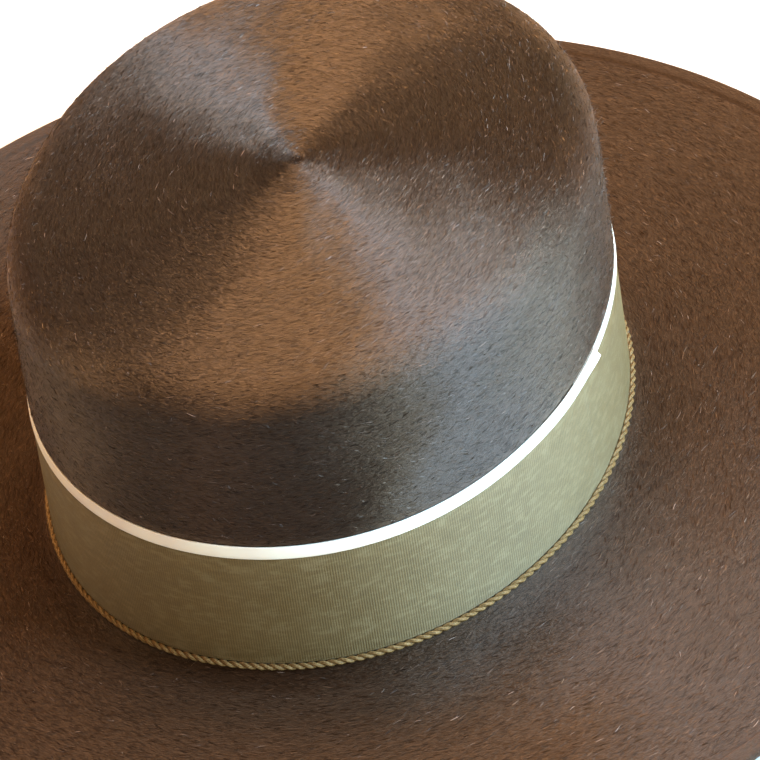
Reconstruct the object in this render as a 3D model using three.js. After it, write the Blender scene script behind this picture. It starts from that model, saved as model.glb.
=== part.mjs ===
import * as THREE from 'three';

// A wide-brim felt hat with a flat-topped oval crown, in millimetres.
// It stands on its brim's underside, z = 0. X runs across the head and Y along it.

// Crown, measured on the outside of the felt
const CROWN_HALF_WIDTH = 84.5;
const CROWN_HALF_LENGTH = 103.8;
const CROWN_HEIGHT = 108.8;
const WIDTH_TAPER = 1.35;       // how much narrower each side is at the top
const LENGTH_TAPER = 1.95;
const SIDE_SWELL = 0.2;         // faint outward bow halfway up
const CROWN_POWER = 2.05;       // 2 is an ellipse, more is squarer
const SHOULDER_RADIUS = 11.5;   // rounding from the side to the tip
const TIP_DOME = 3.6;           // rise of the tip's middle above its edge
const CROWN_FELT = 2.2;

// Brim
const BRIM_HALF_WIDTH = 187;
const BRIM_HALF_LENGTH = 195.2;
const BRIM_FELT = 2;
const BREAK_RADIUS = 7;         // soft bend from the brim's top to the crown's side
const WELT_WIDTH = 5.5;         // the rim's felt, turned over on itself
const WELT_HEIGHT = 2.8;
const WELT_LIP = 0.5;           // the turned edge's slope down to the brim
const RIM_ROUND = 1.2;
const RIM_CHAMFER = 0.36;       // where the rim's rounding is half turned

// Trim: everything is an offset outwards from the crown's side
const GAP = 0.3;
const TRIM_SEAT = 0.8;          // how far the tight ribbon presses the felt in
const TRIM_INSIDE = GAP - TRIM_SEAT;
const RIBBON_OUTSIDE = 0.5;
const RIBBON_FOOT = 8.65;
const PIPING_FOOT = 48.55;
const PIPING_TOP = 53.1;
const PIPING_OUTSIDE = 0.85;
const PIPING_ROUND = 0.6;       // rounding of its two outer edges
const RIBBON_LAP = { from: -7, to: -2, startLift: 0.4, endLift: 0.4 };   // degrees from +X, and millimetres
const PIPING_LAP = { from: -9, to: -1.4, startLift: 0, endLift: 0.9 };    // its cut end stands off a little
const CORD_DIAMETER = 2.1;
const CORD_OFFSET = 1.5;
const CORD_HEIGHT = 7.65;

// Facets, and where the sections lie: turns in degrees, shares from the tip's middle to its edge
const AROUND = 64;
const CORD_SIDES = 8;
const TIP_SHARES = [0.35, 0.7];
const SHOULDER_TURNS = { outside: [90, 68, 45, 22, 0], inside: [0, 30, 60, 90] };
const BREAK_TURNS = { top: [25, 46, 68, 90], underside: [90, 66, 42, 20, 0] };
const LAP_STEP = 0.15;          // how sharply a lapped end stands up, in degrees

const SIDE_TOP = CROWN_HEIGHT - TIP_DOME - SHOULDER_RADIUS;
const TIP_EDGE = CROWN_HEIGHT - TIP_DOME;

const radians = THREE.MathUtils.degToRad;
const mix = THREE.MathUtils.lerp;
const brown = new THREE.MeshStandardMaterial({ color: 0x3a231a, roughness: 0.95, metalness: 0 });
const olive = new THREE.MeshStandardMaterial({ color: 0x6a6440, roughness: 0.8, metalness: 0 });
const cream = new THREE.MeshStandardMaterial({ color: 0xeee2d4, roughness: 0.45, metalness: 0 });
const gold = new THREE.MeshStandardMaterial({ color: 0x6b5126, roughness: 0.6, metalness: 0 });

// One oval section of the crown's side: its half-axes at a height, moved out by an offset.
function crownOval(z, offset = 0) {
  const up = z / TIP_EDGE;
  const swell = SIDE_SWELL * 4 * up * (1 - up);
  return {
    halfWidth: CROWN_HALF_WIDTH - WIDTH_TAPER * up + swell + offset,
    halfLength: CROWN_HALF_LENGTH - LENGTH_TAPER * up + swell + offset,
    power: CROWN_POWER,
    z,
  };
}

// A section of the tip: share 1 is where the shoulder's rounding ends, 0 is the middle.
function tipOval(share, drop) {
  const edge = crownOval(TIP_EDGE, -SHOULDER_RADIUS);
  return {
    halfWidth: edge.halfWidth * share,
    halfLength: edge.halfLength * share,
    power: CROWN_POWER,
    z: TIP_EDGE + TIP_DOME * (1 - share * share) - drop,
  };
}

// A section measured inwards from the brim's rim.
function rimOval(z, inset) {
  return {
    halfWidth: BRIM_HALF_WIDTH - inset,
    halfLength: BRIM_HALF_LENGTH - inset,
    power: 2,
    z,
  };
}

function between(a, b, share) {
  return {
    halfWidth: mix(a.halfWidth, b.halfWidth, share),
    halfLength: mix(a.halfLength, b.halfLength, share),
    power: mix(a.power, b.power, share),
    z: mix(a.z, b.z, share),
  };
}

// The shoulder's sections, from the tip's edge (turn 90) down to the side (turn 0).
function shoulder(radius, turns) {
  return turns.map((turn) => {
    const offset = (radius - SHOULDER_RADIUS) - radius * (1 - Math.cos(radians(turn)));
    return { ...crownOval(TIP_EDGE, offset), z: SIDE_TOP + radius * Math.sin(radians(turn)) };
  });
}

// The bend between crown and brim: turn 0 is upright, turn 90 lies flat.
function bend(reach, rise, foot, turns) {
  return turns.map((turn) => {
    const z = foot + rise * (1 - Math.sin(radians(turn)));
    return crownOval(z, BREAK_RADIUS - reach * Math.cos(radians(turn)));
  });
}

// A point of a superellipse section, in the direction of an angle in degrees from +X.
function ovalPoint(section, angle) {
  const c = Math.cos(radians(angle));
  const s = Math.sin(radians(angle));
  const exponent = 2 / section.power;
  return [
    section.halfWidth * Math.sign(c) * Math.abs(c) ** exponent,
    section.halfLength * Math.sign(s) * Math.abs(s) ** exponent,
    section.z,
  ];
}

// Skins a list of sections, in order down the outside and back up the inside. A section of no width
// closes on one point; without such ends the last section joins the first.
function loft(sectionsAt, angles) {
  const columns = angles.map((angle) => sectionsAt(angle).map((section) => ovalPoint(section, angle)));
  const rows = columns[0].length;
  const first = sectionsAt(angles[0]);
  const isPoint = (row) => first[row].halfWidth === 0;
  const positions = [];
  const index = [];
  const vertex = [];
  for (let row = 0; row < rows; row += 1) {
    vertex.push([]);
    for (let column = 0; column < angles.length; column += 1) {
      if (isPoint(row) && column > 0) {
        vertex[row].push(vertex[row][0]);
      } else {
        vertex[row].push(positions.length / 3);
        positions.push(...columns[column][row]);
      }
    }
  }
  const bands = isPoint(0) ? rows - 1 : rows;
  for (let row = 0; row < bands; row += 1) {
    const below = (row + 1) % rows;
    for (let column = 0; column < angles.length; column += 1) {
      const next = (column + 1) % angles.length;
      if (!isPoint(row)) {
        index.push(vertex[row][column], vertex[below][column], vertex[row][next]);
      }
      if (!isPoint(below)) {
        index.push(vertex[row][next], vertex[below][column], vertex[below][next]);
      }
    }
  }
  const geometry = new THREE.BufferGeometry();
  geometry.setAttribute('position', new THREE.Float32BufferAttribute(positions, 3));
  geometry.setIndex(index);
  geometry.computeVertexNormals();
  return geometry;
}

function evenAngles() {
  return Array.from({ length: AROUND }, (_, step) => (step * 360) / AROUND);
}

// Even angles and two close pairs, so that a lapped end has an upright edge.
function lappedAngles(lap) {
  const ends = [lap.from - LAP_STEP, lap.from, lap.to, lap.to + LAP_STEP].map((angle) => angle + 360);
  const isClear = (angle) => ends.every((end) => Math.abs(end - angle) > 2 * LAP_STEP);
  return [...evenAngles().filter(isClear), ...ends].sort((a, b) => a - b);
}

// How much thicker a strip is where its ends lap, from the lap's first angle to its last.
function lapLift(angle, lap) {
  const share = (angle - 360 - lap.from) / (lap.to - lap.from);
  const within = share > -1e-6 && share < 1 + 1e-6;
  return within ? mix(lap.startLift, lap.endLift, share) : 0;
}

// Crown and brim are one blocked felt, open underneath.
function feltBody() {
  const inner = SHOULDER_RADIUS - CROWN_FELT;
  const middle = (z) => ({ halfWidth: 0, halfLength: 0, power: CROWN_POWER, z });
  const seatTop = PIPING_TOP + GAP;
  const seatFoot = RIBBON_FOOT - GAP;
  const breakTop = BRIM_FELT + BREAK_RADIUS;
  const seatTurn = THREE.MathUtils.radToDeg(Math.asin((breakTop - seatFoot) / BREAK_RADIUS));
  const brimInside = crownOval(BRIM_FELT, BREAK_RADIUS);
  const brimOutside = rimOval(BRIM_FELT, WELT_WIDTH + WELT_LIP);
  const sections = [
    middle(CROWN_HEIGHT),
    ...TIP_SHARES.map((share) => tipOval(share, 0)),
    ...shoulder(SHOULDER_RADIUS, SHOULDER_TURNS.outside),
    crownOval(mix(SIDE_TOP, seatTop, 0.5)),
    crownOval(seatTop + GAP),
    crownOval(seatTop, -TRIM_SEAT),
    crownOval(mix(seatTop, seatFoot, 0.5), -TRIM_SEAT),
    crownOval(seatFoot, -TRIM_SEAT),
    ...bend(BREAK_RADIUS, BREAK_RADIUS, BRIM_FELT, [seatTurn, ...BREAK_TURNS.top]),
    between(brimInside, brimOutside, 0.5),
    brimOutside,
    rimOval(WELT_HEIGHT, WELT_WIDTH),
    rimOval(WELT_HEIGHT, RIM_ROUND),
    rimOval(WELT_HEIGHT - RIM_CHAMFER, RIM_CHAMFER),
    rimOval(WELT_HEIGHT / 2, 0),
    rimOval(RIM_CHAMFER, RIM_CHAMFER),
    rimOval(0, RIM_ROUND),
    between(crownOval(0, BREAK_RADIUS), rimOval(0, RIM_ROUND), 0.5),
    ...bend(BREAK_RADIUS + CROWN_FELT, breakTop, 0, BREAK_TURNS.underside),
    crownOval(mix(breakTop, SIDE_TOP, 0.5), -CROWN_FELT),
    ...shoulder(inner, SHOULDER_TURNS.inside),
    ...TIP_SHARES.map((share) => tipOval(share, CROWN_FELT)).reverse(),
    middle(CROWN_HEIGHT - CROWN_FELT),
  ];
  return new THREE.Mesh(loft(() => sections, evenAngles()), brown);
}

// The ribbon stands in its seat on the crown, and its ends lap at the side.
function ribbonBand() {
  const top = PIPING_FOOT - GAP;
  const sectionsAt = (angle) => {
    const outside = RIBBON_OUTSIDE + lapLift(angle, RIBBON_LAP);
    return [
      crownOval(top, TRIM_INSIDE),
      crownOval(top, outside),
      crownOval(mix(top, RIBBON_FOOT, 0.5), outside),
      crownOval(RIBBON_FOOT, outside),
      crownOval(RIBBON_FOOT, TRIM_INSIDE),
    ];
  };
  return new THREE.Mesh(loft(sectionsAt, lappedAngles(RIBBON_LAP)), olive);
}

// The satin strip sits on the ribbon's upper edge.
function creamPiping() {
  const sectionsAt = (angle) => {
    const outside = PIPING_OUTSIDE + lapLift(angle, PIPING_LAP);
    const crest = outside - PIPING_ROUND;
    return [
      crownOval(PIPING_TOP, TRIM_INSIDE),
      crownOval(PIPING_TOP, crest),
      crownOval(PIPING_TOP - PIPING_ROUND, outside),
      crownOval(PIPING_FOOT + PIPING_ROUND, outside),
      crownOval(PIPING_FOOT, crest),
      crownOval(PIPING_FOOT, TRIM_INSIDE),
    ];
  };
  return new THREE.Mesh(loft(sectionsAt, lappedAngles(PIPING_LAP)), cream);
}

// The cord lies in the bend at the ribbon's foot.
function twistedCord() {
  const sections = Array.from({ length: CORD_SIDES }, (_, side) => {
    const turn = radians(90 - (side + 0.5) * (360 / CORD_SIDES));
    const radius = CORD_DIAMETER / 2;
    return crownOval(CORD_HEIGHT + radius * Math.sin(turn), CORD_OFFSET + radius * Math.cos(turn));
  });
  return new THREE.Mesh(loft(() => sections, evenAngles()), gold);
}

const hat = new THREE.Group();
const pieces = {
  felt_body: feltBody(),
  ribbon_band: ribbonBand(),
  cream_piping: creamPiping(),
  twisted_cord: twistedCord(),
};
for (const [name, mesh] of Object.entries(pieces)) {
  mesh.name = name;
  hat.add(mesh);
}

export default hat;
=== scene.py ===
import math

import bmesh
import bpy
import numpy as np
from mathutils import Matrix, Vector


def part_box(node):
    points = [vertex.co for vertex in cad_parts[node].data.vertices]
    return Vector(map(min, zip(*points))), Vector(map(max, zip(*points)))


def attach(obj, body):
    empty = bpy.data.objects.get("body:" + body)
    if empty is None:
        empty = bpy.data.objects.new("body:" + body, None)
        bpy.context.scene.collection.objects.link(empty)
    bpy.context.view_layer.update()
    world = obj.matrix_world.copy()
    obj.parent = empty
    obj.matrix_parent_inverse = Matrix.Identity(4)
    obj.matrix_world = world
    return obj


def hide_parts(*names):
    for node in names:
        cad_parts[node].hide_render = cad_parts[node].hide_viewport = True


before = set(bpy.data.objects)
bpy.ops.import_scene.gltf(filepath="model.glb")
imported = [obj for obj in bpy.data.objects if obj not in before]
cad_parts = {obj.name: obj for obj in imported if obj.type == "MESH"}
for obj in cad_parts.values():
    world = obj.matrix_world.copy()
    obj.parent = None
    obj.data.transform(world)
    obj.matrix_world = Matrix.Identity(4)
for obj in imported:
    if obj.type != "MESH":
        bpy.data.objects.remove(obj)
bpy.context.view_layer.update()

MM = 0.001

# The crown's oval and the felt's section, as the CAD part has them
CROWN_HALF_WIDTH = 84.5 * MM
CROWN_HALF_LENGTH = 103.8 * MM
WIDTH_TAPER = 1.35 * MM
LENGTH_TAPER = 1.95 * MM
SIDE_SWELL = 0.2 * MM
CROWN_POWER = 2.05
BRIM_POWER = 2.0
SHOULDER_RADIUS = 11.5 * MM
TIP_DOME = 3.6 * MM
CROWN_FELT = 2.2 * MM
BRIM_FELT = 2 * MM
BREAK_RADIUS = 7 * MM
WELT_WIDTH = 5.5 * MM
WELT_HEIGHT = 2.8 * MM
RIM_ROUND = 1.2 * MM
TRIM_SEAT = 0.8 * MM
GAP = 0.3 * MM

# The felt's finer forms
FELT_COLUMNS = 480
WHIRL_DEPTH = 0.5 * MM          # the dimple in the middle of the tip
WHIRL_WIDTH = 0.035             # as a share of the tip
WELT_CREASE = 0.15 * MM         # how deep the crease at the welt's lip is
LIP_RUN = 0.9 * MM              # from the brim's level top to the lip
LIP_ROUND = 0.25 * MM

# The nap. It runs round the hat and wanders in waves
WAVE_COUNT = 9
WAVE_PITCH = 260                # radians per metre across, at most
WAVE_SLOPE = 0.035
# The eye is painted a slightly darker brown than the crown, as painted shade of the whirl's
# middle. Its dull gloss is the fur's own
EYE_RADIUS = 2 * MM             # the dark middle of the nap's whirl on the tip
WHIRL_STRAY = 3                 # how much further the hairs turn out of the nap near the whirl
WHIRL_REACH = 7 * MM
LOCK_SHARE = 0.14               # the share of the hairs that lie in locks
LOCK_WIDTH = 2.4                # a lock's width in single hairs
DULL_SHARE = 0.6                # the share of the hairs that shine less
DULL_GLOSS = 0.6                # as a share of the look's gloss
SHINY_GLOSS = 1.5
HAIR_LIFT = 0.02 * MM           # how far the hairs lie off the felt at least
CROWN_HAIRS = 46000             # on the tip, and again on the side
BRIM_HAIRS = 64000
LOOSE_HAIRS = 12000

# Trim. Offsets are from the crown's side, outward
JOIN = math.radians(-1.4)       # where the strips' ends lap, from +X towards +Y
DIP_DEPTH = 1.7 * MM            # how far the upper edge dips over the front right
DIP_PLACE = math.radians(-45)
DIP_WIDTH = math.radians(42)
DIP_FADE = 25 * MM              # how far above the trim the felt dips with it
RIBBON_OUTSIDE = 0.05 * MM
RIBBON_INSIDE = -0.7 * MM
RIBBON_LAP = 0.14 * MM          # how far the ribbon stands out where its ends lap
RIBBON_LAP_TURN = 0.09          # in radians
RIBBON_EDGE = 0.25 * MM         # the rounding of its two edges
RIBBON_UNDER_PIPING = 0.6 * MM
RIBBON_UNDER_CORD = 0.9 * MM
RIB_PITCH = 0.8 * MM
RIB_DEPTH = 0.09 * MM
RIB_COLUMNS = 4
PRESSED_RIBS = 0.7              # the share of their depth that the ribs keep under the cord
GROOVE_ABOVE_CORD = 0.5 * MM
GROOVE_DEPTH = 0.1 * MM
PIPING_OUTSIDE = 0.16 * MM
PIPING_INSIDE = -0.3 * MM
PIPING_BULGE = 0.3 * MM         # how much further its lower edge stands out
PIPING_LAP = 0.4 * MM           # how far its front end stands off the other one
PIPING_LAP_TURN = 0.16          # in radians
PIPING_CORNER = 0.7 * MM        # how far the front end's lower corner lifts
PIPING_SLANT = 0.008            # of the cut end, in radians
PIPING_NARROWING = 1.3 * MM     # of the end that lies below
PIPING_WIDENS = (0.12, 0.25)    # shares of the way along, from the end that lies below
PIPING_CLIMBS = (0.93, 0.97)
PIPING_ENDS = (0.985, 1.0)
CORD_DROP = 0.4 * MM            # how far the plies lie below the solid cord's middle
CORD_OFFSET = 0.45 * MM
CORD_SHIFT = 0.1 * MM           # further out on the right, less on the left
CORD_TURN = 6.2 * MM            # one full turn of the two plies
PLY_RADIUS = 0.6 * MM
PLY_ORBIT = 0.46 * MM
PLY_FIBRES = 6
STITCH_PITCH = 3.4 * MM
STITCH_LENGTH = 1.6 * MM
STITCH_RADIUS = 0.09 * MM
STITCH_RISE = 0.08 * MM

# Sizes and places read from the frame
BRIM_HALF_WIDTH, BRIM_HALF_LENGTH, CROWN_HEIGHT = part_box("felt_body")[1]
RIBBON_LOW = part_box("ribbon_band")[0].z
PIPING_LOW, PIPING_HIGH = (corner.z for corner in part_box("cream_piping"))
CORD_LOW, CORD_HIGH = (corner.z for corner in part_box("twisted_cord"))
TIP_EDGE = CROWN_HEIGHT - TIP_DOME
SIDE_TOP = TIP_EDGE - SHOULDER_RADIUS
BREAK_TOP = BRIM_FELT + BREAK_RADIUS
CORD_HEIGHT = (CORD_LOW + CORD_HIGH) / 2 - CORD_DROP
PLIES_TOP = CORD_HEIGHT + PLY_ORBIT + PLY_RADIUS
PLIES_FOOT = CORD_HEIGHT - PLY_ORBIT - PLY_RADIUS

# The photograph's view: angles in degrees, distances in metres
VIEW_AZIMUTH = 23.41
VIEW_ELEVATION = 40.36
VIEW_ROLL = -9.09
VIEW_DISTANCE = 1.7778
VIEW_AIM_HEIGHT = 0.060
VIEW_AIM_RIGHT = 0.01807
VIEW_AIM_UP = -0.02651
VIEW_LENS = 289.18              # in millimetres, as is the sensor
VIEW_SENSOR = 36

LIGHT_DISTANCE = 1.9
LIGHT_SIZE = 0.8

random = np.random.default_rng(7)


def smooth(low, high, x):
    """0 below low, 1 above high, and a soft step between."""
    t = np.clip((x - low) / (high - low), 0, 1)
    return t * t * (3 - 2 * t)


def turned_from(angle, place):
    """The angle from a place round the hat, from minus to plus half a turn."""
    return np.mod(angle - place + np.pi, 2 * np.pi) - np.pi


def unit(vectors, tiny=0.0):
    """Vectors divided by their lengths, to which tiny is added where one may be 0."""
    return vectors / (np.linalg.norm(vectors, axis=-1, keepdims=True) + tiny)


def arc(count, start=0.0, stop=90.0):
    """Evenly spaced angles in radians, between two in degrees."""
    return np.radians(np.linspace(start, stop, count))


def girth(offset=0.0):
    """The length once round the crown's foot, moved out by an offset."""
    return 2 * math.pi * (CROWN_HALF_WIDTH + CROWN_HALF_LENGTH + 2 * offset) / 2


def crown_oval(z, offset=0.0):
    """Half-axes, power and height of the crown's side at a height, moved out by an offset."""
    up = z / TIP_EDGE
    swell = SIDE_SWELL * 4 * up * (1 - up)
    half_width = CROWN_HALF_WIDTH - WIDTH_TAPER * up + swell + offset
    half_length = CROWN_HALF_LENGTH - LENGTH_TAPER * up + swell + offset
    return [half_width, half_length, CROWN_POWER, z]


def dip(z, angle):
    """How far the trim's upper edge, and the felt with it, lies below level."""
    heights = (CORD_HIGH, PIPING_LOW - DIP_FADE / 4, PIPING_HIGH, PIPING_HIGH + DIP_FADE)
    share = np.interp(z, heights, (0, 1, 1, 0))
    return DIP_DEPTH * share * np.exp(-((turned_from(angle, DIP_PLACE) / DIP_WIDTH) ** 2))


def oval_point(half_width, half_length, power, z, angle):
    """Points on an oval at a height, lowered by the dip."""
    c, s = np.cos(angle), np.sin(angle)
    x = half_width * np.sign(c) * np.abs(c) ** (2 / power)
    y = half_length * np.sign(s) * np.abs(s) ** (2 / power)
    return np.stack([x, y, np.broadcast_to(z - dip(z, angle), x.shape)], -1)


def nap_waves():
    """The nap's waves: turns round the hat, radians per metre across, phase and slope."""
    return [(random.integers(2, 12), random.uniform(-WAVE_PITCH, WAVE_PITCH),
             random.uniform(0, 2 * np.pi), random.normal(0, WAVE_SLOPE))
            for _ in range(WAVE_COUNT)]


class Skin:
    """A surface swept round the hat through ovals. across is the distance from the first one."""

    def __init__(self, sections):
        self.sections = np.array(sections, float)
        self.radii = (self.sections[:, 0] + self.sections[:, 1]) / 2
        self.heights = self.sections[:, 3]
        steps = np.hypot(np.diff(self.radii), np.diff(self.heights))
        self.across = np.concatenate([[0], np.cumsum(steps)])
        self.length = self.across[-1]
        self.waves = nap_waves()

    def point(self, across, angle):
        section = [np.interp(across, self.across, column) for column in self.sections.T]
        return oval_point(*section, angle)

    def frame(self, across, angle):
        """Point, direction round the hat, direction across the sections and outward normal."""
        step, turn, tiny = 0.2 * MM, 0.002, 1e-12
        here = self.point(across, angle)
        round_it = unit(self.point(across, angle + turn) - self.point(across, angle - turn), tiny)
        down = unit(self.point(across + step, angle) - self.point(across - step, angle), tiny)
        return here, round_it, down, unit(np.cross(down, round_it), tiny)

    def nap_turn(self, across, angle):
        """How far the nap turns from round the hat towards across it, in radians."""
        return sum(slope * np.cos(turns * angle + pitch * across + phase)
                   for turns, pitch, phase, slope in self.waves)

    def nap_shift(self, across, angle):
        """The distance across whose contours run along the nap."""
        radius = np.interp(across, self.across, self.radii)
        waves = sum(slope / turns * np.sin(turns * angle + pitch * across + phase)
                    for turns, pitch, phase, slope in self.waves)
        return across - radius * waves


def new_object(name, points, faces, uv=None, values=None):
    """A mesh object from arrays. uv has a pair for each face corner, values a number per point."""
    mesh = bpy.data.meshes.new(name)
    mesh.vertices.add(len(points))
    mesh.vertices.foreach_set("co", np.ascontiguousarray(points, np.float32).ravel())
    corners = faces.shape[1]
    mesh.loops.add(faces.size)
    mesh.loops.foreach_set("vertex_index", np.ascontiguousarray(faces, np.int32).ravel())
    mesh.polygons.add(len(faces))
    starts = np.arange(0, faces.size, corners, dtype=np.int32)
    mesh.polygons.foreach_set("loop_start", starts)
    mesh.polygons.foreach_set("use_smooth", np.full(len(faces), True))
    if uv is not None:
        layer = mesh.uv_layers.new(name="nap")
        layer.data.foreach_set("uv", np.ascontiguousarray(uv, np.float32).ravel())
    for key, numbers in (values or {}).items():
        attribute = mesh.attributes.new(key, "FLOAT", "POINT")
        attribute.data.foreach_set("value", np.ascontiguousarray(numbers, np.float32))
    mesh.update(calc_edges=True)
    mesh.validate()
    piece = bpy.data.objects.new(name, mesh)
    bpy.context.scene.collection.objects.link(piece)
    return piece


def grid_faces(rows, columns, is_closed_across, is_closed_round=True):
    """Outward quads of a grid, and the row and column of each."""
    row_ends = rows if is_closed_across else rows - 1
    column_ends = columns if is_closed_round else columns - 1
    row, column = np.meshgrid(np.arange(row_ends), np.arange(column_ends), indexing="ij")
    below, beside = (row + 1) % rows, (column + 1) % columns
    quads = [row * columns + column, below * columns + column,
             below * columns + beside, row * columns + beside]
    return np.stack([q.ravel() for q in quads], -1), row.ravel(), column.ravel()


def sweep(name, skin_points, across, is_closed_across, values=None):
    """A piece from points[row, column], which closes round the hat, and its distances across."""
    rows, columns = skin_points.shape[:2]
    faces, row, column = grid_faces(rows, columns, is_closed_across)
    turn = 1 / columns
    u = np.stack([column, column, column + 1, column + 1], -1) * turn
    far = np.vstack([across, 2 * across[-1:] - across[-2:-1]])
    beside = (column + 1) % columns
    v = np.stack([far[row, column], far[row + 1, column],
                  far[row + 1, beside], far[row, beside]], -1)
    return new_object(name, skin_points.reshape(-1, 3), faces, np.stack([u, v], -1), values)


class Paint:
    """A material with a Principled shader and short calls for its nodes."""

    def __init__(self, name, **constants):
        self.material = bpy.data.materials.new(name)
        self.material.use_nodes = True
        self.nodes = self.material.node_tree.nodes
        self.links = self.material.node_tree.links
        self.shader = self.nodes["Principled BSDF"]
        for key, value in constants.items():
            self.shader.inputs[key.replace("_", " ")].default_value = value

    def feed(self, socket, value):
        """Links another node's output to a socket, or sets the socket to a plain value."""
        if isinstance(value, bpy.types.NodeSocket):
            self.links.new(value, socket)
        else:
            socket.default_value = value

    def node(self, kind, settings=None, **inputs):
        made = self.nodes.new(kind)
        for key, value in (settings or {}).items():
            setattr(made, key, value)
        for key, value in inputs.items():
            self.feed(made.inputs[key.replace("_", " ")], value)
        return made

    def link(self, output, key):
        self.links.new(output, self.shader.inputs[key])

    def place(self):
        return self.node("ShaderNodeTexCoord").outputs["Object"]

    def attribute(self, name):
        return self.node("ShaderNodeAttribute", {"attribute_name": name}).outputs["Fac"]

    def math(self, operation, *values):
        made = self.node("ShaderNodeMath", {"operation": operation})
        for socket, value in zip(made.inputs, values):
            self.feed(socket, value)
        return made.outputs[0]

    def stretch(self, value, low, high, to_low=0.0, to_high=1.0):
        """The value, mapped from one range to another and held within it."""
        made = self.node("ShaderNodeMapRange", None, Value=value)
        for socket, number in zip(made.inputs[1:5], (low, high, to_low, to_high)):
            socket.default_value = number
        return made.outputs[0]

    def mix(self, share, a, b):
        """A colour between two. The node's colours are its inputs 6 and 7 and its output 2."""
        made = self.node("ShaderNodeMix", {"data_type": "RGBA"})
        for index, value in ((0, share), (6, a), (7, b)):
            self.feed(made.inputs[index], value)
        return made.outputs[2]

    def noise(self, where, scale, detail=2.0, roughness=0.5):
        return self.node("ShaderNodeTexNoise", None, Vector=where, Scale=scale, Detail=detail,
                         Roughness=roughness).outputs["Fac"]

    def squeezed(self, place, share, height=None):
        """A place that changes more slowly along X and Y, with its own or another height."""
        apart = self.node("ShaderNodeSeparateXYZ", None, Vector=place).outputs
        x, y = (self.math("MULTIPLY", apart[axis], share) for axis in range(2))
        z = apart[2] if height is None else height
        return self.node("ShaderNodeCombineXYZ", None, X=x, Y=y, Z=z).outputs[0]

    def streak_place(self, stretch):
        """A place that changes fast across the nap and slowly along it."""
        return self.squeezed(self.place(), 1 / stretch, self.attribute("across"))

    def bump(self, height, strength, distance, normal=None):
        made = self.node("ShaderNodeBump", None, Height=height, Strength=strength,
                         Distance=distance)
        if normal is not None:
            self.links.new(normal, made.inputs["Normal"])
        self.link(made.outputs[0], "Normal")

    def along_nap(self):
        tangent = {"direction_type": "UV_MAP", "uv_map": "nap"}
        return self.node("ShaderNodeTangent", tangent).outputs[0]

    def nap_tangent(self):
        self.link(self.along_nap(), "Tangent")

    def combed_normal(self, rise):
        """The felt's normal, tipped against the nap, because the hairs' tips rise."""
        tip = self.node("ShaderNodeVectorMath", {"operation": "SCALE"}, Scale=-rise)
        self.feed(tip.inputs[0], self.along_nap())
        total = self.node("ShaderNodeVectorMath", {"operation": "ADD"})
        self.feed(total.inputs[0], self.node("ShaderNodeNewGeometry").outputs["Normal"])
        self.feed(total.inputs[1], tip.outputs[0])
        made = self.node("ShaderNodeVectorMath", {"operation": "NORMALIZE"})
        self.feed(made.inputs[0], total.outputs[0])
        return made.outputs[0]


def colour(red, green, blue):
    return (red, green, blue, 1.0)


# Brown from dark to pale
FUR_TONES = [(0.005, 0.0024, 0.0013), (0.0125, 0.0062, 0.0033), (0.03, 0.0165, 0.009),
             (0.05, 0.03, 0.018)]

# The fur of the whirl's eye, the crown and the brim. depth is how light its brown is, combed how
# much it shines across its hairs alone, rise how far their tips rise, tint the colour of its shine
LOOKS = {
    # The eye's brown is a little darker than the crown's: painted shade of the whirl's middle. Its
    # low gloss and rough shine are the fur's own
    "eye": dict(depth=0.24, gloss=0.15, rough=0.8, combed=0.0, fuzz=0.0, rise=0.0, tint=0.89),
    "crown": dict(depth=0.27, gloss=0.68, rough=0.55, combed=0.965, fuzz=0.08, rise=0.015,
                  tint=0.89),
    "brim": dict(depth=0.88, gloss=0.36, rough=0.6, combed=0.93, fuzz=0.1, rise=0.06, tint=0.82),
}

# How deep the felt's grain is in each look
GRAIN = {"eye": 0.3 * MM, "crown": 0.3 * MM, "brim": 0.55 * MM}


def fur_paint(name, depth, gloss, rough, combed, fuzz, rise, tint):
    """Long-nap fur, which shines across its hairs, and its tones from dark to pale."""
    paint = Paint(name, Roughness=rough, Anisotropic=combed, Anisotropic_Rotation=0.25,
                  Specular_IOR_Level=gloss, Specular_Tint=colour(1.0, tint, tint * tint),
                  Sheen_Weight=fuzz, Sheen_Roughness=0.5, Sheen_Tint=colour(1.0, 0.64, 0.42))
    paint.nap_tangent()
    paint.link(paint.combed_normal(rise), "Normal")
    return paint, [colour(*(depth * part for part in tone)) for tone in FUR_TONES]


def felt_paint(name, grain, **look):
    """The felt under the hairs, with short streaks along the nap."""
    paint, (dark, mid, light, _) = fur_paint(name, **look)
    fine = paint.noise(paint.streak_place(3), 2600, 3, 0.6)
    fleck = paint.noise(paint.streak_place(2.5), 1250, 3, 0.65)
    broad = paint.noise(paint.streak_place(3), 480, 3, 0.55)
    patches = paint.noise(paint.place(), 28, 3)
    tone = paint.mix(paint.stretch(fine, 0.35, 0.65), dark, mid)
    tone = paint.mix(paint.stretch(fleck, 0.5, 0.68, 0.0, 0.85), tone, light)
    tone = paint.mix(paint.stretch(broad, 0.5, 0.75, 0.0, 0.4), tone, light)
    tone = paint.mix(paint.stretch(patches, 0.35, 0.7, 0.0, 0.3), tone, mid)
    paint.link(tone, "Base Color")
    height = paint.math("ADD", fine, paint.math("MULTIPLY", fleck, 1.5))
    height = paint.math("ADD", height, broad)
    paint.bump(height, 0.5, grain, paint.combed_normal(look["rise"]))
    return paint.material


def hair_paint(name, **look):
    """Single hairs of the nap. shade runs from dark to light from hair to hair."""
    paint, (dark, mid, light, pale) = fur_paint(name, **look)
    shade = paint.attribute("shade")
    tone = paint.mix(paint.stretch(shade, 0.0, 0.7), dark, mid)
    tone = paint.mix(paint.stretch(shade, 0.7, 0.9), tone, light)
    tone = paint.mix(paint.stretch(shade, 0.93, 1.0), tone, pale)
    paint.link(tone, "Base Color")
    return paint.material


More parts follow.
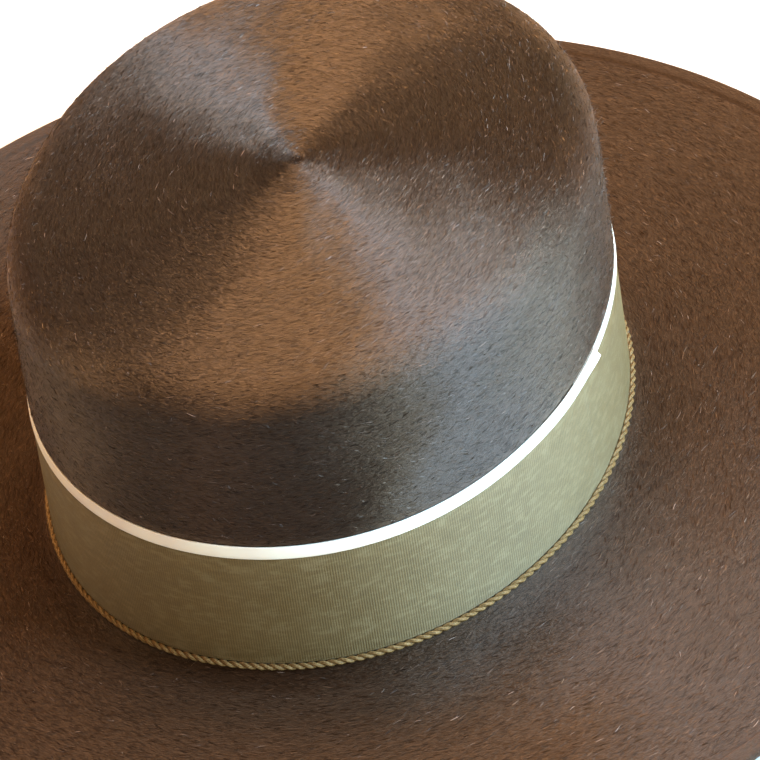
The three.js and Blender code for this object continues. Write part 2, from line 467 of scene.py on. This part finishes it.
def hair_paints(name):
    """The dull and the shiny hairs of one look."""
    look = LOOKS[name]
    return [hair_paint("fur_hair_%s_%s" % (name, kind), **{**look, "gloss": share * look["gloss"]})
            for kind, share in (("dull", DULL_GLOSS), ("shiny", SHINY_GLOSS))]


def loose_hair_and_glint_paint():
    """Pale single hairs. Some have worked loose from the nap. Their paleness is also a painted
    highlight, for the specks' glints and the backlit glow of the fuzz and the standing hairs.
    """
    paint = Paint("fur_loose_and_glint", Roughness=0.5, Specular_IOR_Level=0.3)
    share = paint.stretch(paint.attribute("shade"), 0.6, 1.0)
    # pale is partly the loose hairs' own tone and partly painted glints and painted backlit glow
    dark, pale = colour(0.022, 0.014, 0.009), colour(0.19, 0.15, 0.13)
    paint.link(paint.mix(share, dark, pale), "Base Color")
    return paint.material


def felt_sections():
    """The felt's sections, from the tip's middle over the outside and underside to the inside."""
    sections = []
    edge_width, edge_length, _, _ = crown_oval(TIP_EDGE, -SHOULDER_RADIUS)

    def tip(shares, drop):
        for share in shares:
            dimple = WHIRL_DEPTH * math.exp(-((share / WHIRL_WIDTH) ** 2))
            z = TIP_EDGE + TIP_DOME * (1 - share * share) - drop - dimple
            sections.append([edge_width * share, edge_length * share, CROWN_POWER, z])

    def shoulder(radius, turns):
        for turn in turns:
            oval = crown_oval(TIP_EDGE, radius - SHOULDER_RADIUS - radius * (1 - math.cos(turn)))
            sections.append([*oval[:3], SIDE_TOP + radius * math.sin(turn)])

    def side(heights, offset):
        sections.extend(crown_oval(z, offset) for z in heights)

    def bend(reach, rise, turns):
        for turn in turns:
            z = BREAK_TOP - rise + rise * (1 - math.sin(turn))
            sections.append(crown_oval(z, BREAK_RADIUS - reach * math.cos(turn)))

    def flat(start, stop, count):
        for share in np.linspace(0, 1, count + 2)[1:-1]:
            sections.append([a + (b - a) * share for a, b in zip(start, stop)])

    def rim(z, inset):
        return [BRIM_HALF_WIDTH - inset, BRIM_HALF_LENGTH - inset, BRIM_POWER, z]

    middle = 0.0005
    seat_top = PIPING_HIGH + GAP
    tip(np.concatenate([[middle], np.linspace(0.007, 0.1, 12), np.linspace(0.13, 0.97, 22)]), 0)
    shoulder(SHOULDER_RADIUS, arc(14)[::-1])
    side(np.linspace(SIDE_TOP, seat_top + GAP, 14)[1:], 0)
    side(np.linspace(seat_top, PLIES_FOOT, 6), -TRIM_SEAT)
    bend(BREAK_RADIUS, BREAK_RADIUS, arc(12, 24))
    lip_foot = rim(BRIM_FELT, WELT_WIDTH + LIP_RUN)
    flat(sections[-1], lip_foot, 40)
    sections.append(lip_foot)
    sections.append(rim(BRIM_FELT - WELT_CREASE, WELT_WIDTH + LIP_RUN / 2))
    sections.append(rim(WELT_HEIGHT - LIP_ROUND, WELT_WIDTH))
    sections.append(rim(WELT_HEIGHT, WELT_WIDTH - 0.7 * MM))
    flat(sections[-1], rim(WELT_HEIGHT, RIM_ROUND), 4)
    for turn in arc(9, 90, -90):
        height = WELT_HEIGHT / 2
        sections.append(rim(height + height * math.sin(turn), RIM_ROUND * (1 - math.cos(turn))))
    flat(sections[-1], crown_oval(0, BREAK_RADIUS), 14)
    bend(BREAK_RADIUS + CROWN_FELT, BREAK_TOP, arc(10)[::-1])
    side(np.linspace(BREAK_TOP, SIDE_TOP, 10)[1:-1], -CROWN_FELT)
    shoulder(SHOULDER_RADIUS - CROWN_FELT, arc(10))
    tip(np.concatenate([np.linspace(0.97, 0.1, 10), [middle]]), CROWN_FELT)
    return sections


def make_felt():
    skin = Skin(felt_sections())
    angles = np.arange(FELT_COLUMNS) * 2 * np.pi / FELT_COLUMNS
    across, angle = np.meshgrid(skin.across, angles, indexing="ij")
    points = skin.point(across, angle)
    shift = skin.nap_shift(across, angle)
    piece = sweep("felt_body_blocked", points, shift, False, {"across": across.ravel()})
    for look in LOOKS:
        piece.data.materials.append(felt_paint("fur_felt_" + look, GRAIN[look], **LOOKS[look]))
    eye, crown, brim = range(3)
    look_of_row = np.where(skin.heights < BREAK_TOP, brim, crown)[:-1]
    # The rows of the eye take the eye look, whose darker brown is painted shade
    look_of_row[skin.across[1:] < EYE_RADIUS] = eye
    look_of_face = np.repeat(look_of_row, FELT_COLUMNS).astype(np.int32)
    piece.data.polygons.foreach_set("material_index", look_of_face)
    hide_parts("felt_body")
    return piece, skin


def blade_faces(count, steps):
    """Faces and UVs of hairs that have two points at each step and one at the tip."""
    first = np.arange(count)[:, None] * (2 * steps - 1)
    corners, corner_u, corner_v = [], [], []
    for step in range(steps - 2):
        a, u, v = 2 * step, step / (steps - 1), (step + 1) / (steps - 1)
        corners += [(a, a + 1, a + 3), (a, a + 3, a + 2)]
        corner_u += [(u, u, v), (u, v, v)]
        corner_v += [(0, 1, 1), (0, 1, 0)]
    a, u = 2 * (steps - 2), (steps - 2) / (steps - 1)
    corners.append((a, a + 1, a + 2))
    corner_u.append((u, u, 1))
    corner_v.append((0, 1, 0.5))
    faces = np.concatenate([first + np.array(c) for c in corners])
    uv = np.stack([np.repeat(corner_u, count, 0), np.repeat(corner_v, count, 0)], -1)
    return faces, uv


def blades(name, skin, low, high, count, length, width, lift, stray, paints, steps=3,
           spread=(0.5, 1.3)):
    """Hairs that lie along the nap between two distances across the skin. lift is how far they
    rise, stray how far they turn out of the nap and spread the range of their lengths."""
    near = random.uniform(low, high, count * 3)
    share = np.interp(near, skin.across, skin.radii)
    near = near[random.random(len(near)) < share / share.max()][:count]
    count = len(near)
    angle = random.uniform(0, 2 * np.pi, count)
    radius = np.interp(near, skin.across, skin.radii)
    long = np.minimum(length * random.uniform(*spread, count), 0.9 * radius + 0.4 * MM)
    astray = stray * (1 + WHIRL_STRAY * np.exp(-near / WHIRL_REACH))
    turn = random.normal(0, 1, count) * astray + skin.nap_turn(near, angle)
    curl = random.normal(0, 0.5 * stray, count)
    rise = lift * random.uniform(0.3, 1.0, count)
    end_rise = lift * random.uniform(-0.4, 1.6, count)
    roll = random.normal(0, 2 * stray, count)
    wide = width * np.where(random.random(count) < LOCK_SHARE, LOCK_WIDTH, 1.0)
    wide = wide * random.uniform(0.6, 1.4, count)
    speed = long / np.maximum(radius, 1 * MM)
    points = np.zeros((count, 2 * steps - 1, 3))
    for step, t in enumerate(np.linspace(0, 1, steps)):
        heading = turn + curl * t
        middle = np.clip(near + long * np.sin(heading) * t, 0.1 * MM, skin.length)
        spot, _, aside, up = skin.frame(middle, angle + speed * np.cos(heading) * t)
        height = rise * math.sin(math.pi * t) + end_rise * t * t + HAIR_LIFT
        spot = spot + up * height[:, None]
        edge = aside * np.cos(roll)[:, None] + up * np.sin(roll)[:, None]
        half = (wide * (0.8 if step == 0 else 1.0) / 2)[:, None] * edge
        points[:, 2 * step] = spot if step == steps - 1 else spot - half
        if step < steps - 1:
            points[:, 2 * step + 1] = spot + half
    faces, uv = blade_faces(count, steps)
    shade = random.random(count)
    values = {"shade": np.repeat(shade, 2 * steps - 1)}
    piece = new_object(name, points.reshape(-1, 3), faces, uv, values)
    for paint in paints:
        piece.data.materials.append(paint)
    is_shiny = (shade > DULL_SHARE) & (len(paints) > 1)
    is_shiny_face = np.tile(is_shiny, len(faces) // count).astype(np.int32)
    piece.data.polygons.foreach_set("material_index", is_shiny_face)
    return piece


def ribbon_paint():
    """Ribbed olive silk. rib runs from 0 in the grooves to 1 on the ribs, and the grooves are
    painted darker, towards deep, as painted shade.
    """
    paint = Paint("ribbed_ribbon", Roughness=0.66, Anisotropic=0.8, Anisotropic_Rotation=0.25,
                  Specular_IOR_Level=0.9, Specular_Tint=colour(0.95, 0.95, 0.74))
    place = paint.place()
    groove = paint.attribute("rib")
    weave = paint.noise(place, 2400, 2, 0.6)
    cloud = paint.noise(place, 90, 3)
    slub = paint.noise(paint.squeezed(place, 0.3), 700, 3, 0.6)
    olive, deep = colour(0.104, 0.072, 0.025), colour(0.045, 0.03, 0.01)
    pale = colour(0.13, 0.104, 0.052)
    # Painted shade: deep darkens the grooves between the ribs and the groove above the cord. The
    # slub's dark patches below are the yarn's own darker tone
    share = paint.math("MULTIPLY", groove, paint.stretch(slub, 0.38, 0.62, 1.3, 0.8))
    tone = paint.mix(share, deep, olive)
    tone = paint.mix(paint.stretch(slub, 0.48, 0.34, 0.0, 0.5), tone, deep)
    tone = paint.mix(paint.stretch(slub, 0.5, 0.64, 0.0, 0.6), tone, pale)
    tone = paint.mix(paint.stretch(weave, 0.5, 0.8, 0.0, 0.5), tone, pale)
    tone = paint.mix(paint.stretch(cloud, 0.4, 0.7, 0.0, 0.2), tone, pale)
    paint.link(tone, "Base Color")
    paint.bump(weave, 0.35, 0.2 * MM)
    paint.nap_tangent()
    return paint.material


def make_ribbon():
    """A ribbon with an upright rib every RIB_PITCH, closed round the crown, lapped at JOIN."""
    ribs = round(girth() / RIB_PITCH)
    columns = ribs * RIB_COLUMNS
    angle = np.arange(columns) * 2 * np.pi / columns
    rib = 0.5 - 0.5 * np.cos(angle * ribs)
    turned = turned_from(angle, JOIN)
    is_lapped = smooth(-RIBBON_LAP_TURN - 0.02, -RIBBON_LAP_TURN, turned)
    lap = RIBBON_LAP * is_lapped * (1 - smooth(-0.005, 0.0, turned))
    top, foot = PIPING_LOW + RIBBON_UNDER_PIPING, RIBBON_LOW - RIBBON_UNDER_CORD
    groove = PLIES_TOP + GROOVE_ABOVE_CORD
    heights = [top, top, *np.linspace(top - 0.2 * MM, groove + 0.3 * MM, 7),
               groove, groove - 0.25 * MM, foot + 0.1 * MM, foot]
    last = len(heights) - 1
    rows, ribbed = [], []
    for row, z in enumerate(heights):
        is_groove = z == groove
        strength = PRESSED_RIBS if z < groove else 1.0
        offset = RIBBON_OUTSIDE - RIB_DEPTH * strength * (1 - rib) + lap
        if row in (1, last - 1):
            offset = offset - RIBBON_EDGE
        if is_groove:
            offset = offset - GROOVE_DEPTH
        if row in (0, last):
            offset = np.full(columns, RIBBON_INSIDE)
        half_width, half_length, power, _ = crown_oval(z)
        points = oval_point(half_width, half_length, power, z, angle)
        flat = oval_point(half_width + 1 * MM, half_length + 1 * MM, power, z, angle) - points
        rows.append(points + flat * (offset / MM)[:, None])
        # The rib values that the paint darkens by, as painted shade: 0 along the groove above the
        # cord, and shallower grooves where the ribs are pressed under the cord
        ribbed.append(np.clip(rib * strength + (1 - strength), 0, 1) * (not is_groove))
    across = np.linspace(0, top - foot, len(rows))[:, None] + np.zeros(columns)
    values = {"rib": np.array(ribbed).ravel()}
    piece = sweep("ribbon_grosgrain", np.array(rows), across, True, values)
    piece.data.materials.append(ribbon_paint())
    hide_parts("ribbon_band")
    return piece


def satin_paint():
    paint = Paint("cream_satin", Roughness=0.34, Specular_IOR_Level=0.5, Sheen_Weight=0.2,
                  Sheen_Roughness=0.3)
    place = paint.place()
    thread = paint.noise(place, 1500, 3, 0.6)
    cloud = paint.noise(place, 60, 2)
    cream, warm = colour(0.7, 0.72, 0.64), colour(0.66, 0.64, 0.57)
    tone = paint.mix(paint.stretch(cloud, 0.4, 0.65), cream, warm)
    paint.link(paint.mix(paint.stretch(thread, 0.55, 0.8, 0.0, 0.3), tone, warm), "Base Color")
    paint.bump(thread, 0.12, 0.2 * MM)
    return paint.material


def make_piping():
    """A satin strip, almost flush with the felt. Its front end is wider, laps over the other and
    lifts at a corner. The other end tucks in narrow below it."""
    columns, steps = 900, 15
    gone = np.linspace(0, 1, columns)
    angle = JOIN - PIPING_LAP_TURN + (2 * np.pi + PIPING_LAP_TURN) * gone
    over = smooth(*PIPING_CLIMBS, gone)
    end = smooth(*PIPING_ENDS, gone)
    narrow = 1 - smooth(*PIPING_WIDENS, gone)
    foot = PIPING_LOW + PIPING_NARROWING * narrow + 0.3 * MM
    top = PIPING_HIGH + 0.1 * MM * over
    rings = []
    for turn in np.radians(np.linspace(90, -90, steps)):
        s, c = math.sin(turn), math.cos(turn)
        bulge = (PIPING_OUTSIDE + PIPING_BULGE * (1 - s) / 2) * max(c, 0.0) ** 0.3 + 0.05 * MM
        corner = end * PIPING_CORNER * max(0.0, -s) ** 2
        height = (top + foot) / 2 + (top - foot) / 2 * s
        rings.append((height, bulge + over * PIPING_LAP + corner, angle - end * PIPING_SLANT * s))
    inner = PIPING_INSIDE + over * PIPING_LAP
    rings.append((foot, inner + end * 0.5 * MM, angle + end * PIPING_SLANT))
    rings.append((top, inner, angle - end * PIPING_SLANT))
    points = []
    for z, offset, slant in rings:
        half_width, half_length, power, _ = crown_oval(z, offset)
        points.append(oval_point(half_width, half_length, power, z, slant))
    faces, _, _ = grid_faces(len(rings), columns, True, is_closed_round=False)
    piece = new_object("piping_satin", np.array(points).reshape(-1, 3), faces)
    close_ends(piece)
    piece.data.materials.append(satin_paint())
    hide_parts("cream_piping")
    return piece


def close_ends(piece):
    """Fills the open loops at a strip's two ends."""
    shape = bmesh.new()
    shape.from_mesh(piece.data)
    bmesh.ops.holes_fill(shape, edges=[e for e in shape.edges if e.is_boundary])
    bmesh.ops.recalc_face_normals(shape, faces=shape.faces)
    shape.to_mesh(piece.data)
    shape.free()


def cord_paint():
    """Olive gold yarn. twist counts the fibres' turns in radians. The dark between the fibres,
    where the bump is lowest, is painted shade.
    """
    paint = Paint("twisted_yarn", Roughness=0.6, Specular_IOR_Level=0.3,
                  Specular_Tint=colour(1.0, 0.9, 0.7))
    twist = paint.attribute("twist")
    fibre = paint.noise(paint.place(), 1600, 2, 0.6)
    line = paint.math("SINE", twist)
    dark, gold = colour(0.055, 0.032, 0.01), colour(0.13, 0.08, 0.028)
    pale = colour(0.27, 0.19, 0.09)
    # Painted shade: dark where line, and with it the bump, is low, between the fibres
    tone = paint.mix(paint.stretch(line, -1.0, 0.4), dark, gold)
    tone = paint.mix(paint.stretch(fibre, 0.45, 0.75, 0.0, 0.6), tone, pale)
    paint.link(tone, "Base Color")
    paint.bump(line, 0.25, 0.1 * MM)
    return paint.material


def tube_points(centres, normal, side, radius, sides):
    """Points of a tube round each centre, from two crosswise directions."""
    turn = (np.arange(sides) * 2 * np.pi / sides)[None, :, None]
    ring = normal[:, None] * np.cos(turn) + side[:, None] * np.sin(turn)
    return centres[:, None] + ring * radius


def make_cord():
    """Two plies that wind round each other, all the way round the hat."""
    turns = round(girth(CORD_OFFSET) / CORD_TURN)
    steps, sides = turns * 16, 10
    angle = np.arange(steps) * 2 * np.pi / steps
    half_width, half_length, power, z = crown_oval(CORD_HEIGHT, CORD_OFFSET)
    centre = oval_point(half_width, half_length, power, z, angle) + [CORD_SHIFT, 0, 0]
    along = unit(np.roll(centre, -1, 0) - np.roll(centre, 1, 0))
    up = np.tile([0.0, 0.0, 1.0], (steps, 1))
    out = np.cross(along, up)
    faces, _, _ = grid_faces(steps, sides, True)
    all_points, all_faces, all_twist = [], [], []
    for ply in range(2):
        phase = ply * np.pi - angle * turns
        arm = out * np.cos(phase)[:, None] + up * np.sin(phase)[:, None]
        path = centre + arm * PLY_ORBIT
        ahead = unit(np.roll(path, -1, 0) - np.roll(path, 1, 0))
        points = tube_points(path, -arm, np.cross(ahead, arm), PLY_RADIUS, sides)
        all_faces.append(faces + ply * steps * sides)
        all_points.append(points.reshape(-1, 3))
        # Fibres that keep their direction while the ply winds
        spin = PLY_FIBRES * (phase[:, None] + np.arange(sides)[None] * 2 * np.pi / sides)
        all_twist.append(spin.ravel())
    piece = new_object("cord_two_ply", np.concatenate(all_points), np.concatenate(all_faces), None,
                       {"twist": np.concatenate(all_twist)})
    piece.data.materials.append(cord_paint())
    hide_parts("twisted_cord")
    return piece


def thread_paint():
    paint = Paint("dark_thread", Roughness=0.6)
    fibre = paint.noise(paint.place(), 3000, 2)
    dark, pale = colour(0.02, 0.014, 0.006), colour(0.07, 0.05, 0.02)
    paint.link(paint.mix(fibre, dark, pale), "Base Color")
    return paint.material


def make_stitches():
    """Small dark stitches in the groove between the ribbon's foot and the cord."""
    count = round(girth() / STITCH_PITCH)
    steps, sides = 7, 6
    faces, _, _ = grid_faces(steps, sides, False)
    points, quads = [], []
    span = STITCH_LENGTH / (girth() / (2 * np.pi))
    t = np.linspace(0, 1, steps)
    offset = RIBBON_OUTSIDE + 0.02 * MM + STITCH_RISE * np.sin(np.pi * t)
    radius = STITCH_RADIUS * np.sqrt(np.clip(1 - (2 * t - 1) ** 2, 0.02, 1))
    half_width, half_length, power, z = crown_oval(PLIES_TOP + 0.05 * MM)
    up = np.tile([0.0, 0.0, 1.0], (steps, 1))
    for stitch in range(count):
        angle = stitch * 2 * np.pi / count + span * (t - 0.5)
        path = oval_point(half_width + offset, half_length + offset, power, z, angle)
        along = unit(np.gradient(path, axis=0))
        ring = tube_points(path, np.cross(along, up), up, radius[:, None, None], sides)
        points.append(ring.reshape(-1, 3))
        quads.append(faces[:, ::-1] + stitch * steps * sides)
    piece = new_object("cord_stitches", np.concatenate(points), np.concatenate(quads))
    piece.data.materials.append(thread_paint())
    return piece


def direction(azimuth, elevation):
    """A unit vector to the camera or a light. Azimuth 0 is at -Y and 90 at +X, in degrees."""
    a, e = math.radians(azimuth), math.radians(elevation)
    return Vector((math.sin(a) * math.cos(e), -math.cos(a) * math.cos(e), math.sin(e)))


def add_camera():
    back = direction(VIEW_AZIMUTH, VIEW_ELEVATION)
    azimuth, roll = math.radians(VIEW_AZIMUTH), math.radians(VIEW_ROLL)
    level = Vector((math.cos(azimuth), math.sin(azimuth), 0))
    upright = back.cross(level)
    right = level * math.cos(roll) + upright * math.sin(roll)
    up = upright * math.cos(roll) - level * math.sin(roll)
    aim = Vector((0, 0, VIEW_AIM_HEIGHT)) + right * VIEW_AIM_RIGHT + up * VIEW_AIM_UP
    data = bpy.data.cameras.new("camera")
    data.sensor_width = VIEW_SENSOR
    data.lens = VIEW_LENS
    camera = bpy.data.objects.new("camera", data)
    place = Matrix.Translation(aim + back * VIEW_DISTANCE)
    camera.matrix_world = place @ Matrix((right, up, back)).transposed().to_4x4()
    bpy.context.scene.collection.objects.link(camera)
    bpy.context.scene.camera = camera


def add_light(name, azimuth, elevation, power, tint):
    data = bpy.data.lights.new(name, "AREA")
    data.shape = "ELLIPSE"
    data.size = data.size_y = LIGHT_SIZE
    data.energy = power
    data.color = tint
    light = bpy.data.objects.new(name, data)
    towards = direction(azimuth, elevation)
    light.location = towards * LIGHT_DISTANCE
    light.rotation_mode = "QUATERNION"
    light.rotation_quaternion = towards.to_track_quat("Z", "Y")
    bpy.context.scene.collection.objects.link(light)


def add_floor():
    side, below = 6.0, 0.2 * MM
    corners = np.array([[-side, -side, -below], [side, -side, -below],
                        [side, side, -below], [-side, side, -below]])
    floor = new_object("floor", corners, np.array([[0, 1, 2, 3]]))
    paint = Paint("pale_floor", Roughness=0.8)
    grain = paint.noise(paint.place(), 40, 3)
    dark, pale = colour(0.5, 0.53, 0.55), colour(0.53, 0.56, 0.58)
    paint.link(paint.mix(grain, dark, pale), "Base Color")
    floor.data.materials.append(paint.material)


def add_studio():
    world = bpy.data.worlds.new("studio")
    world.use_nodes = True
    background = world.node_tree.nodes["Background"]
    background.inputs["Color"].default_value = colour(1.0, 0.85, 0.7)
    background.inputs["Strength"].default_value = 0.06
    bpy.context.scene.world = world
    add_light("window", 88, 34, 67, (0.56, 0.82, 1.12))
    add_light("window_cool", 114, 41, 28, (0.3, 0.75, 1.1))
    add_light("window_back", 125, 50, 25, (1.0, 0.66, 0.45))
    add_light("sill", 115, 12, 29, (0.79, 1.0, 0.96))
    add_light("ceiling", 195, 72, 49, (1.0, 0.44, 0.06))
    add_light("ceiling_far", 225, 70, 24, (1.0, 0.48, 0.12))
    add_light("ceiling_left", 280, 75, 13, (1.0, 0.6, 0.28))
    add_light("skylight", 210, 71, 14, (0.74, 0.8, 1.0))
    add_light("back", 175, 15, 5, (1.0, 0.66, 0.31))
    add_light("room", 285, 7, 11, (1.0, 0.65, 0.36))
    add_light("front", 60, 15, 29, (0.9, 0.98, 0.82))
    add_light("lamp", 340, 50, 8, (1.0, 0.51, 0.3))
    add_floor()
    bpy.context.scene.view_settings.view_transform = "Standard"


add_camera()
add_studio()
felt, felt_skin = make_felt()

# Where the hairs begin and end across the felt
rim_row = np.argmax(felt_skin.radii)
side_row = np.argmin(np.abs(felt_skin.heights[:rim_row] - (PIPING_HIGH + 2 * GAP)))
brim_rows = np.flatnonzero(np.abs(felt_skin.heights - BRIM_FELT) < 1e-6)
tip_end = felt_skin.across[np.argmax(felt_skin.heights < TIP_EDGE)]
side_end = felt_skin.across[side_row]
brim_start, brim_end = felt_skin.across[brim_rows[0]] - 8 * MM, felt_skin.across[brim_rows[-1]]

few = 1.0
crown_hairs, brim_hairs = int(CROWN_HAIRS * few), int(BRIM_HAIRS * few)
loose_hairs = int(LOOSE_HAIRS * few)
crown, brim, loose = hair_paints("crown"), hair_paints("brim"), [loose_hair_and_glint_paint()]
ribbon, piping = make_ribbon(), make_piping()

# The hairs: from and to across the felt, number, length, width, lift, stray and paints, and for
# some their steps and spread. The sizes are in millimetres
naps = [
    ("nap_whirl", 1 * MM, 14 * MM, crown_hairs // 14, 1.8, 0.08, 0.1, 0.22, crown),
    ("nap_tip", 2 * MM, tip_end, crown_hairs, 2.3, 0.1, 0.1, 0.18, crown),
    ("nap_side", tip_end, side_end, crown_hairs, 2.2, 0.1, 0.12, 0.2, crown),
    ("nap_brim", brim_start, brim_end, brim_hairs, 3.0, 0.13, 0.12, 0.2, brim),
    # These four sets take the pale loose paint, partly as painted glints and, on the fuzz and the
    # standing hairs, as painted backlit glow
    ("nap_loose", 1 * MM, brim_end, loose_hairs, 2.0, 0.06, 0.2, 0.3, loose, 4, (0.1, 1.8)),
    ("nap_specks", 8 * MM, brim_end, loose_hairs // 3, 0.45, 0.12, 0.3, 1.2, loose),
    ("nap_fuzz", 0.7 * tip_end, side_end, loose_hairs, 1.1, 0.05, 0.8, 0.6, loose),
    ("nap_standing", 0.8 * tip_end, tip_end + 30 * MM, loose_hairs // 16, 2.4, 0.06, 1.6, 0.6,
     loose, 4, (0.3, 1.5)),
]
pieces = [felt]
for name, low, high, count, length, width, lift, *rest in naps:
    pieces.append(blades(name, felt_skin, low, high, count, length * MM, width * MM, lift * MM,
                         *rest))
pieces += [ribbon, piping, make_cord(), make_stitches()]
for piece in pieces:
    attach(piece, "root")
